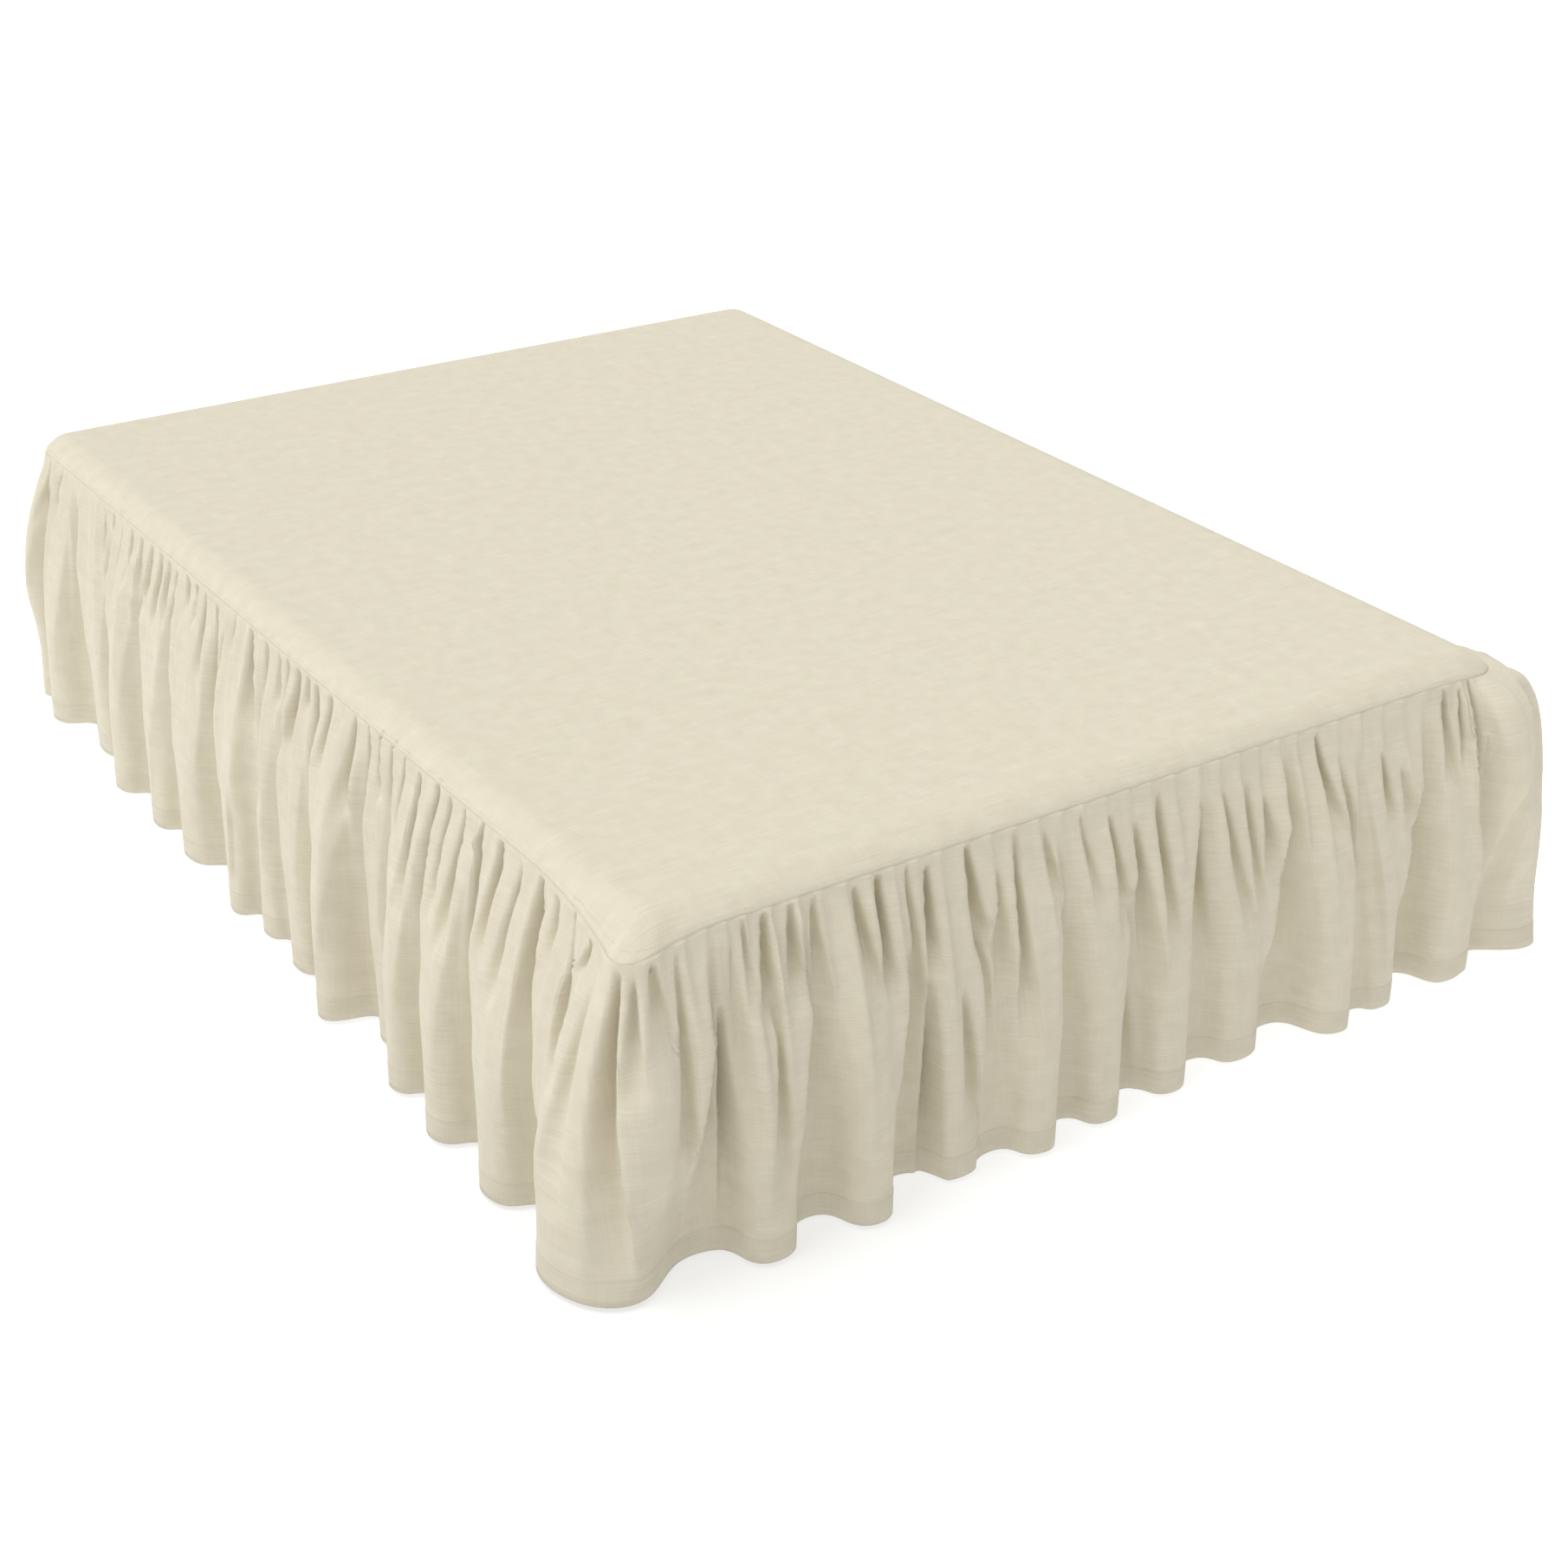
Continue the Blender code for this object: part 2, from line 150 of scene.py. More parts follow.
# Placed singly: gather at the hem and at the seam, hundredths of the drop at which it opens and
# has its elbow, bulge in millimetres
placedHollows = [
    (24.5, 24.3, 3, 35, 4), (28, 28.8, 2, 35, 4), (30.5, 30.9, 3, 30, 3),
    (34, 33.6, 2, 38, 4), (37.5, 38.1, 0, 30, 5), (40.5, 40.2, 10, 35, 3),
    (44, 43.9, 2, 35, 4), (48, 47.4, 2, 30, 4), (53, 51.7, 2, 30, 5),
    (59, 60.0, 0, 30, 9), (64, 64.1, 0, 31, 10), (68, 68.2, 22, 40, 4),
    (71.5, 71.9, 20, 42, 4), (74.5, 74.7, 2, 24, 10), (77.5, 77.9, 25, 45, 3),
    (80.5, 80.9, 3, 14, 8), (84.5, 85.2, 0, 26, 13), (88, 88.9, 5, 24, 5),
    (91, 91.9, 0, 28, 12), (95, 94.6, 0, 30, 2),
]

# At the foot's right corner the gathers stand up from the seam before they fall
risen = {
    "gather": 97.8,
    "spread": 2.2,
    "height": 0.022,
    "peakDrop": 0.10,
}

# Every gather is a ridge with one crisp edge, and some have a slit beside them
gather = {
    "atSeam": 0.0035,  # height of the ridge there, and the drop at which that is gone
    "seamFade": 0.12,
    "start": 0.008,  # drop over which a ridge rises out of the seam
    "height": (0.004, 0.012),
    "peakDrop": (0.05, 0.24),
    "ends": (0.35, 1.10),
    "shortest": 0.12,  # from its peak to its end
    "lean": 0.34,  # how far its edge lies from its middle, in gathers
    "turnOver": 1.5,  # how soon the edges change sides at the foot's left corner
    "flanks": (0.55, 0.45),  # straight part and rounded part
    "inHollow": 0.8,  # share of it that a hollow takes away
    "slitShare": 0.62,  # of the gathers that get one at random
    "slitStray": 0.15,  # how far it lies from its gather
    "slitSlant": 0.5,  # how far its ends lie apart
    "slitTop": (0.0, 0.04),
    "slitEnd": (0.14, 0.50),
    "slitWidth": (0.28, 0.42),
    "slitDepth": (0.005, 0.014),
    "slitClear": 0.6,  # none lies this near to those placed singly
    "slitSearch": 2.5,  # gathers on each side that a slit can reach
    "slitOpening": 0.75,  # power that puts its deepest place nearer to its top
    "slitWidening": (0.3, 1.2),  # of its half width, at the top and at the bottom
    "slitGain": 1.6,  # on the given depths
    "slitLean": 0.3,  # how far its lowest line lies towards the right, of its half width
}
# Slits placed singly: gather at the top and at the bottom, hundredths of the drop at both and of a
# gather in half its width, depth in millimetres
placedSlits = [
    (12.1, 12.0, 1, 20, 24, 9), (13.3, 13.0, 1, 24, 24, 10), (14.2, 14.0, 1, 32, 22, 8),
    (16.5, 16.3, 1, 24, 20, 8), (15.4, 15.1, 1, 24, 24, 9), (17.6, 17.3, 1, 28, 24, 10),
    (18.6, 18.3, 1, 30, 24, 10), (19.5, 19.3, 1, 26, 22, 8), (20.3, 20.0, 2, 26, 28, 11),
    (21.4, 21.2, 1, 16, 30, 10), (22.3, 22.1, 1, 16, 28, 10), (23.1, 22.9, 1, 34, 34, 13),
    (24.3, 24.0, 2, 44, 32, 13), (25.2, 25.0, 2, 24, 30, 10), (26.1, 26.0, 1, 12, 30, 10),
    (27.5, 27.8, 1, 34, 34, 18), (28.8, 28.9, 1, 55, 34, 17), (30.1, 30.0, 1, 20, 32, 13),
    (30.8, 31.1, 1, 32, 30, 13), (31.8, 31.6, 1, 30, 34, 17), (32.7, 32.6, 1, 14, 28, 9),
    (33.5, 33.9, 1, 46, 38, 20), (34.7, 34.8, 1, 24, 34, 15), (36.9, 36.7, 1, 34, 32, 14),
    (38.1, 37.9, 0, 46, 36, 20), (39.0, 39.1, 0, 20, 34, 18), (40.0, 40.1, 0, 20, 32, 15),
    (41.1, 41.1, 0, 24, 32, 15), (42.4, 42.3, 1, 46, 34, 18), (43.8, 43.8, 0, 42, 38, 22),
    (44.8, 45.1, 1, 34, 32, 15), (46.0, 46.2, 1, 42, 38, 22), (47.3, 47.6, 0, 36, 38, 20),
    (48.6, 48.8, 1, 34, 42, 24), (50.1, 50.0, 2, 42, 32, 16), (51.5, 51.8, 1, 46, 40, 22),
    (52.6, 53.0, 2, 20, 26, 10), (54.0, 55.0, 1, 44, 42, 22), (55.3, 54.9, 2, 14, 24, 12),
    (55.9, 55.5, 14, 80, 30, 9), (56.9, 56.4, 2, 100, 34, 27), (57.3, 57.2, 4, 42, 24, 14),
    (60.2, 60.0, 22, 103, 50, 18), (60.7, 60.6, 5, 80, 110, 14), (57.7, 57.8, 1, 34, 28, 15),
    (58.5, 58.1, 2, 90, 38, 13), (61.7, 61.7, 1, 30, 34, 10), (62.6, 62.3, 1, 34, 40, 19),
    (62.6, 62.0, 24, 86, 34, 13), (63.6, 63.4, 1, 30, 38, 18), (64.5, 64.6, 1, 34, 30, 12),
    (66.2, 66.5, 2, 38, 36, 15), (67.2, 67.1, 1, 36, 36, 20), (68.4, 68.6, 1, 46, 24, 12),
    (69.3, 69.2, 3, 36, 34, 21), (69.0, 69.1, 34, 120, 55, 22), (70.2, 70.4, 40, 92, 34, 14),
    (70.9, 71.2, 1, 36, 42, 22), (71.1, 71.3, 26, 64, 30, 12), (72.0, 72.0, 10, 46, 30, 10),
    (72.8, 72.6, 1, 70, 34, 20), (74.1, 74.2, 4, 36, 34, 10), (75.7, 76.2, 2, 34, 26, 8),
    (77.0, 77.3, 6, 42, 34, 14), (77.3, 77.4, 48, 105, 44, 14), (78.1, 78.4, 10, 66, 45, 18),
    (79.2, 79.1, 4, 56, 32, 16), (80.8, 80.8, 10, 60, 32, 15), (82.0, 82.6, 10, 62, 34, 12),
    (83.2, 83.4, 10, 55, 28, 10), (84.0, 84.0, 16, 46, 34, 14), (86.9, 87.3, 2, 36, 37, 17),
    (87.8, 88.1, 10, 60, 30, 13), (89.8, 90.0, 14, 40, 30, 14), (90.6, 90.8, 20, 50, 26, 11),
    (92.7, 92.8, 1, 34, 32, 18), (93.6, 93.6, 2, 30, 30, 15), (94.5, 94.3, 0, 55, 40, 18),
    (95.2, 95.3, 12, 62, 30, 12), (95.9, 95.8, 34, 100, 34, 12), (96.5, 96.4, 6, 50, 34, 14),
    (96.4, 96.4, 66, 92, 34, 8), (97.0, 97.3, 12, 85, 50, 8), (97.6, 97.6, 4, 40, 34, 10),
    (98.8, 98.6, 3, 36, 34, 12),
]

# How the hanging cloth is laid out, settled and drawn
hang = {
    "dense": 24,  # points to a gather while its shape is worked out
    "columns": 8,  # to a gather, while it settles
    "rows": 46,
    "crowding": 1.2,  # rows are closer together near the seam
    "byLength": 0.7,  # how far columns are spaced along the cloth, not by gathers
    "fineColumns": 11,  # to a gather, as drawn
    "fineRows": 52,
    "frames": 8,
    "steps": 4,
    "mass": 0.002,
    "stretch": 30,
    "shear": 5,
    "bend": 0.01,
    "clearance": 0.002,
    "hold": ((0.0, 0.8), (0.5, 0.70), (1.0, 0.60)),  # drop, pull to the first shape
}
hem = {
    "depth": 0.036,
    "turnRows": 4,
    "thickness": 0.0014,
    "proud": 0.0006,
    "proudOver": 0.004,  # length over which it comes to stand out
    "floorGap": 0.0015,
    "allowance": 0.012,  # cloth taken up in the seam
    "tuckIn": 0.0045,  # where the seam's edge goes on behind the deck's rim
    "tuckUp": 0.003,
    "tuckCloth": 0.004,
}


def smooth(x):
    x = np.clip(x, 0.0, 1.0)
    return x * x * (3 - 2 * x)


def mix(a, b, share):
    return a + (b - a) * share


def unit(ways):
    return ways / np.maximum(np.linalg.norm(ways, axis=-1, keepdims=True), 1e-9)


def lengthAlong(points):
    return np.concatenate([[0], np.cumsum(np.linalg.norm(np.diff(points, axis=0), axis=1))])


def withHeight(points, height):
    return np.concatenate([points, np.full(points.shape[:-1] + (1,), height)], axis=-1)


class BedEdge:
    # The bed's edge in plan, from behind the head's left corner round the foot to the right one
    def __init__(self, radius):
        self.radius = radius
        x = bedHalfX - radius
        y = bedHalfY - radius
        arc = radius * math.pi / 2
        behind = ruffle["returnLength"] - radius
        rows = [
            ("returnLeft", behind, behind - x, y, 180, 0),
            ("headLeft", arc, -x, y, 180, 1),
            ("left", 2 * y, -x, y, 270, 0),
            ("footLeft", arc, -x, -y, 270, 1),
            ("foot", 2 * x, -x, -y, 0, 0),
            ("footRight", arc, x, -y, 0, 1),
            ("right", 2 * y, x, -y, 90, 0),
            ("headRight", arc, x, y, 90, 1),
            ("returnRight", behind, x, y, 180, 0),
        ]
        self.names, lengths, x, y, turns, corners = zip(*rows)
        self.lengths = np.array(lengths)
        self.starts = np.concatenate([[0], np.cumsum(self.lengths)[:-1]])
        self.bases = np.stack([x, y], axis=1) + np.array(bedMiddle)[:2]
        self.turns = np.radians(turns)
        self.corners = np.array(corners)
        self.length = float(self.lengths.sum())

    def place(self, fold):
        i = self.names.index(fold.stretch)
        if self.corners[i]:
            return self.starts[i] + fold.along * self.lengths[i]
        return self.starts[i] + self.lengths[i] / 2 + fold.along

    def points(self, s):
        i = np.clip(np.searchsorted(self.starts, s, side="right") - 1, 0, len(self.starts) - 1)
        along = s - self.starts[i]
        turn = self.turns[i] + self.corners[i] * along / self.radius
        along = along * (1 - self.corners[i])
        outward = np.stack([np.sin(turn), -np.cos(turn)], axis=-1)
        forward = np.stack([np.cos(turn), np.sin(turn)], axis=-1)
        return self.bases[i] + outward * self.radius + forward * along[..., None], outward, forward


def cornerShift(x, y):
    # What the full corners add to places on the seam
    shift = np.zeros(np.shape(x) + (3,))
    for corner in fullCorners:
        atX = bedMiddle.x + corner.right * (bedHalfX + bed["standOut"])
        atY = bedMiddle.y + corner.head * (bedHalfY + bed["standOut"])
        awayX = np.abs(x - atX) / corner.reachX
        awayY = np.abs(y - atY) / corner.reachY
        full = np.maximum(1 - awayX - awayY, 0) ** 2
        shift += full[..., None] * np.array([corner.pushX, corner.pushY, -corner.dip])
        away = awayX * corner.reachX + awayY * corner.reachY
        tip = np.maximum(1 - away / rimReach, 0) * corner.point
        shift += tip[..., None] * np.array([corner.right, corner.head, 0])
    return shift


def allFolds():
    chance = random.Random(ruffle["seed"])
    side = 2 * (bedHalfY - ruffle["hemCorner"])
    behind = ruffle["returnLength"] - ruffle["hemCorner"]
    folds = [Fold("returnLeft", -behind / 2, ruffle["endCrest"], ruffle["endHollow"])]
    folds += [Fold(stretch, *row) for stretch, rows in placedFolds.items() for row in rows]
    count = ruffle["rightFolds"]
    for i in range(count):
        shift = chance.uniform(-ruffle["rightShift"], ruffle["rightShift"])
        crest = chance.uniform(*ruffle["rightCrests"])
        hollow = chance.uniform(*ruffle["rightHollows"])
        flare = ruffle["puff"] if i == 0 else plainFlare
        folds.append(Fold("right", (i + 0.5 + shift) * side / count - side / 2, crest, hollow, flare))
    folds.append(lastCornerFold)
    folds.append(Fold("returnRight", behind / 2, ruffle["endCrest"], ruffle["endHollow"]))
    return folds


def inMetres(row):
    # A placed row with its hundredths as shares and its millimetres as metres
    return row[:2] + tuple(part / 100 for part in row[2:-1]) + (row[-1] / 1000,)


class HangingCloth:
    # The ruffle as a function of the gather, counted from its left end, and of the drop
    def __init__(self):
        self.seamEdge = BedEdge(bed["corner"])
        self.hemEdge = BedEdge(ruffle["hemCorner"])
        self.folds = allFolds()
        self.crest, self.hollow, self.flare = np.array([fold[2:] for fold in self.folds]).T
        self.puffed = (self.flare == ruffle["puff"]).astype(float)
        self.atHem = np.array([self.hemEdge.place(fold) for fold in self.folds])
        gathers = [0]
        for i in range(len(self.folds) - 1):
            taken = round(self.hemCloth(i) / ruffle["clothPerGather"])
            gathers.append(gathers[-1] + max(ruffle["fewestGathers"], taken))
        self.gathers = np.array(gathers)
        self.count = gathers[-1]
        pitch = self.seamEdge.length / self.count
        lean = np.array([ruffle["footLean"] * (fold.stretch == "foot") for fold in self.folds])
        above = np.array([self.seamEdge.place(fold) for fold in self.folds]) - lean
        self.atSeam = mix(above, self.gathers * pitch, ruffle["evenness"])
        self.atSeam[0] = 0.0
        self.atSeam[-1] = self.seamEdge.length
        stretches = [fold.stretch for fold in self.folds]
        self.cornerGather = gathers[stretches.index("footLeft")] + 1
        self.placeHollows()
        self.placeGathers()

    def hemCloth(self, i):
        places = np.array([self.atHem[i], (self.atHem[i] + self.atHem[i + 1]) / 2, self.atHem[i + 1]])
        outs = np.array([self.crest[i], self.hollow[i], self.crest[i + 1]])
        points, outward, _ = self.hemEdge.points(places)
        return float(lengthAlong(points + outward * outs[:, None])[-1])

    def placeHollows(self):
        chance = random.Random(ruffle["seed"] + 2)
        rows = []
        for a, b in zip(self.gathers[:-1], self.gathers[1:]):
            atHem = (a + b) / 2
            side = 1 if atHem > self.cornerGather else -1
            row = (atHem + side * hollows["shift"] * chance.uniform(*hollows["shiftSpread"]),
                   chance.uniform(*hollows["opens"]), chance.uniform(*hollows["elbow"]),
                   chance.uniform(*hollows["bulge"]))
            for placed in placedHollows:
                if abs(placed[0] - atHem) < hollows["match"]:
                    row = inMetres(placed)[1:]
            rows.append((atHem,) + row)
        self.hollowRows = np.array(rows)

    def placeGathers(self):
        chance = random.Random(ruffle["seed"] + 1)
        rows = []
        self.slits = [inMetres(slit) for slit in placedSlits]
        first = min(slit[0] for slit in placedSlits) - gather["slitClear"]
        last = max(slit[0] for slit in placedSlits) + gather["slitClear"]
        for j in range(self.count):
            peak = chance.uniform(*gather["peakDrop"])
            rows.append((chance.uniform(*gather["height"]), peak,
                         max(chance.uniform(*gather["ends"]), peak + gather["shortest"])))
            place = j + chance.uniform(-gather["slitStray"], gather["slitStray"])
            slant = chance.uniform(-gather["slitSlant"], gather["slitSlant"])
            slit = (place, place + slant)
            for key in ("slitTop", "slitEnd", "slitWidth", "slitDepth"):
                slit += (chance.uniform(*gather[key]),)
            if chance.random() < gather["slitShare"] and not first < place < last:
                self.slits.append(slit)
        self.gatherRows = np.array(rows)

    def valley(self, g, drop, i, part):
        # How deep a place lies between the crests on both sides: 0 on them and 1 in the hollow
        atHem, atSeam, opens, elbow, bulge = self.hollowRows[i].transpose(2, 0, 1)
        side = np.where(atHem > self.cornerGather, 1, -1)
        middle = mix(atSeam, atHem, drop ** hollows["slant"])
        away = (g - middle) * side
        grown = np.clip((drop - opens) / (1 - opens), 0, 1)
        sharp = hollows["sharpSide"][0] + hollows["sharpSide"][1] * grown
        soft = hollows["softSide"][0] + hollows["softSide"][1] * grown
        reach = np.where(away < 0, sharp, soft)
        before, over = hollows["opening"]
        opened = smooth((drop - opens + before) / over)
        wedge = np.clip(1 - np.abs(away) / reach, 0, 1) ** hollows["wedge"] * opened
        wave = (1 - np.cos(2 * math.pi * part)) / 2
        low, high = hollows["settled"]
        valley = mix(wedge, wave, smooth((drop - low) / (high - low)))
        fades = np.where(drop < elbow, hollows["above"], hollows["below"])
        lip = np.exp(-((away + sharp) / hollows["lipWidth"]) ** 2)
        lip = lip * np.exp(-np.abs(drop - elbow) / fades)
        return valley, lip * bulge * side

    def gatherRise(self, g, drop, valley):
        j = np.clip(np.floor(g).astype(int), 0, self.count - 1)
        height, peakDrop, ends = self.gatherRows[j].transpose(2, 0, 1)
        across = g - j
        # The crisp edges face away from the foot's left corner
        side = np.clip((g - self.cornerGather) * gather["turnOver"], -1, 1)
        peak = 0.5 + gather["lean"] * side
        ridge = np.where(across < peak, across / peak, (1 - across) / (1 - peak))
        straight, rounded = gather["flanks"]
        ridge = ridge * (straight + rounded * smooth(ridge))
        grown = np.where(drop < peakDrop, drop / peakDrop, 1 - (drop - peakDrop) / (ends - peakDrop))
        grown = smooth(np.clip(grown, 0, 1))
        amount = gather["atSeam"] * smooth(1 - drop / gather["seamFade"]) + height * grown
        return ridge * amount * smooth(drop / gather["start"]) * (1 - gather["inHollow"] * valley)

    def slitCut(self, g, drop):
        cut = np.zeros_like(g)
        for atTop, atBottom, top, bottom, width, depth in self.slits:
            share = (drop[:, 0] - top) / (bottom - top)
            rows = np.nonzero((share > 0) & (share < 1))[0]
            if not len(rows):
                continue
            low, high = rows[0], rows[-1] + 1
            near = np.nonzero(np.abs(g[low] - (atTop + atBottom) / 2) < gather["slitSearch"])[0]
            a, b = near[0], near[-1] + 1
            share = share[low:high, None]
            opened = np.sin(math.pi * share ** gather["slitOpening"])
            reach = width * mix(*gather["slitWidening"], share)
            away = (g[low:high, a:b] - mix(atTop, atBottom, share)) / reach
            lowest = gather["slitLean"]
            wall = np.where(away < lowest, (1 + away) / (1 + lowest), (1 - away) / (1 - lowest))
            wall = np.clip(wall, 0, 1)
            cut[low:high, a:b] += gather["slitGain"] * depth * opened * wall * (2 - wall)
        return cut

    def points(self, g, drop):
        i = np.clip(np.searchsorted(self.gathers, g, side="right") - 1, 0, len(self.folds) - 2)
        part = (g - self.gathers[i]) / (self.gathers[i + 1] - self.gathers[i])
        steep = part + ruffle["steepness"] * np.sin(4 * math.pi * part)
        above, wayAbove, _ = self.seamEdge.points(mix(self.atSeam[i], self.atSeam[i + 1], part))
        below, wayBelow, _ = self.hemEdge.points(mix(self.atHem[i], self.atHem[i + 1], steep))
        lowered = smooth(drop)[..., None]
        seam = above + wayAbove * bed["standOut"]
        above = withHeight(above, seamHeight) + cornerShift(seam[..., 0], seam[..., 1])
        below = withHeight(below, ruffle["hemHeight"])
        point = mix(above, below, lowered)
        point[..., 2] = mix(above[..., 2], below[..., 2], drop)
        outward = unit(mix(wayAbove, wayBelow, lowered))
        crest, flare, puffed = (mix(values[i], values[i + 1], smooth(part))
                                for values in (self.crest, self.flare, self.puffed))
        atOnce = ruffle["puffShare"]
        puff = (atOnce * (1 - (1 - drop) ** ruffle["puffSpeed"])
                + (1 - atOnce) * drop ** ruffle["puffRest"])
        hollow = self.hollow[i]
        swing = (crest - hollow) / 2 * np.cos(2 * math.pi * part) * smooth(drop / ruffle["settleDepth"])
        plain = (crest + hollow) / 2 * mix(1 - (1 - drop) ** flare, puff, puffed) + swing
        valley, lip = self.valley(g, drop, i, part)
        out = crest * mix(1 - (1 - drop) ** (flare * hollows["soonness"]), puff, puffed)
        opened = mix(out, hollow * (1 - (1 - drop) ** plainFlare), valley)
        over = opened - plain
        low, high = hollows["settled"]
        loose = 1 - smooth((drop - low) / (high - low))
        filled = np.where(over > 0, hollows["fullness"] * loose, hollows["depth"])
        out = plain + over * filled + np.abs(lip)
        out = np.hypot(out, bed["standOut"] * (1 - smooth(drop / ruffle["standEnd"])))
        out = out + self.gatherRise(g, drop, valley) - self.slitCut(g, drop)
        out = np.maximum(out, ruffle["leastOut"] * smooth(drop / ruffle["leastDrop"]))
        point[..., :2] += outward * out[..., None]
        forward = np.stack([-outward[..., 1], outward[..., 0]], axis=-1)
        point[..., :2] += forward * (hollows["overhang"] * lip)[..., None]
        point[..., 2] += ruffle["hemLift"] * out * drop
        up = drop / risen["peakDrop"]
        stand = np.exp(-((g - risen["gather"]) / risen["spread"]) ** 2) * up * np.exp(1 - up)
        point[..., 2] += risen["height"] * stand
        return point


def gridFaces(rows, columns):
    # Faces of a grid whose points run along each row; they face the side from which rows run down
    width = columns + 1
    starts = [i * width + j for i in range(rows) for j in range(columns)]
    return [(a, a + width, a + width + 1, a + 1) for a in starts]


def newObject(name, data):
    made = bpy.data.objects.new(name, data)
    bpy.context.scene.collection.objects.link(made)
    return made


def newPiece(name, points, faces):
    mesh = bpy.data.meshes.new(name)
    mesh.from_pydata(points.reshape(-1, 3).tolist(), [], faces)
    mesh.shade_smooth()
    return newObject(name, mesh)


def gridMesh(name, grid, cloth):
    # A piece from rows of points, with the flat cloth's metres as its map
    piece = newPiece(name, grid, gridFaces(grid.shape[0] - 1, grid.shape[1] - 1))
    mesh = piece.data
    corners = np.empty(len(mesh.loops), np.int32)
    mesh.loops.foreach_get("vertex_index", corners)
    layer = mesh.uv_layers.new(name="cloth")
    layer.uv.foreach_set("vector", cloth.reshape(-1, 2)[corners].astype(np.float32).ravel())
    return piece


def alongCurve(points, places):
    # Smooth curve through the rows of points, read at fractional rows
    last = len(points) - 1
    i = np.clip(np.floor(places).astype(int), 0, last - 1)
    t = (places - i)[:, None, None]
    a, b, c, d = (points[np.clip(i + k, 0, last)] for k in (-1, 0, 1, 2))
    return 0.5 * (2 * b + (c - a) * t + (2 * a - 5 * b + 4 * c - d) * t ** 2
                  + (3 * b - a - 3 * c + d) * t ** 3)


def hangShape(shape, drops, columns):
    # Rows of places in the cloth's shape and their gathers, with columns spread between the crests
    dense = np.arange(shape.count * hang["dense"] + 1) / hang["dense"]
    g, drop = np.meshgrid(dense, drops)
    points = np.concatenate([shape.points(g, drop), g[..., None]], axis=-1)
    made = np.empty((len(drops), shape.count * columns + 1, 4))
    for row in range(len(drops)):
        length = lengthAlong(points[row, :, :3])
        for a, b in zip(shape.gathers[:-1], shape.gathers[1:]):
            low, high = a * hang["dense"], b * hang["dense"]
            fromLow = (length[low:high + 1] - length[low]) / (length[high] - length[low])
            even = np.linspace(0, 1, high - low + 1)
            spread = mix(even, fromLow, hang["byLength"])
            wanted = np.linspace(0, 1, (b - a) * columns + 1)
            for axis in range(4):
                made[row, a * columns:b * columns + 1, axis] = np.interp(
                    wanted, spread, points[row, low:high + 1, axis])
    return made


def settle(first, drops):
    # The cloth hangs from its pinned seam for a moment, under its weight, over the box spring
    rows, width = first.shape[:2]
    cloth = gridMesh("settling", first, first[:, :, :2])
    pins = cloth.vertex_groups.new(name="pins")
    shares, pulls = zip(*hang["hold"])
    for i, drop in enumerate(drops):
        pull = 1.0 if i == 0 else float(np.interp(drop, shares, pulls))
        pins.add(list(range(i * width, (i + 1) * width)), pull, "REPLACE")
    collider = newObject("collider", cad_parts["box_spring"].data.copy())
    collider.modifiers.new("Collision", "COLLISION")
    collider.collision.thickness_outer = bed["sideGap"]
    modifier = cloth.modifiers.new("Cloth", "CLOTH")
    settings = modifier.settings
    settings.quality = hang["steps"]
    settings.mass = hang["mass"]
    settings.tension_stiffness = settings.compression_stiffness = hang["stretch"]
    settings.shear_stiffness = hang["shear"]
    settings.bending_stiffness = hang["bend"]
    settings.vertex_group_mass = pins.name
    modifier.collision_settings.distance_min = hang["clearance"]
    scene = bpy.context.scene
    modifier.point_cache.frame_start = 1
    modifier.point_cache.frame_end = hang["frames"]
    for number in range(1, hang["frames"] + 1):
        scene.frame_set(number)
    graph = bpy.context.evaluated_depsgraph_get()
    settled = cloth.evaluated_get(graph).to_mesh()
    points = np.empty(len(settled.vertices) * 3, np.float32)
    settled.vertices.foreach_get("co", points)
    for old in (cloth, collider):
        bpy.data.objects.remove(old)
    scene.frame_set(1)
    return points.reshape(rows, width, 3).astype(float)


def rowDrops(rows):
    return [(i / rows) ** hang["crowding"] for i in range(rows + 1)]


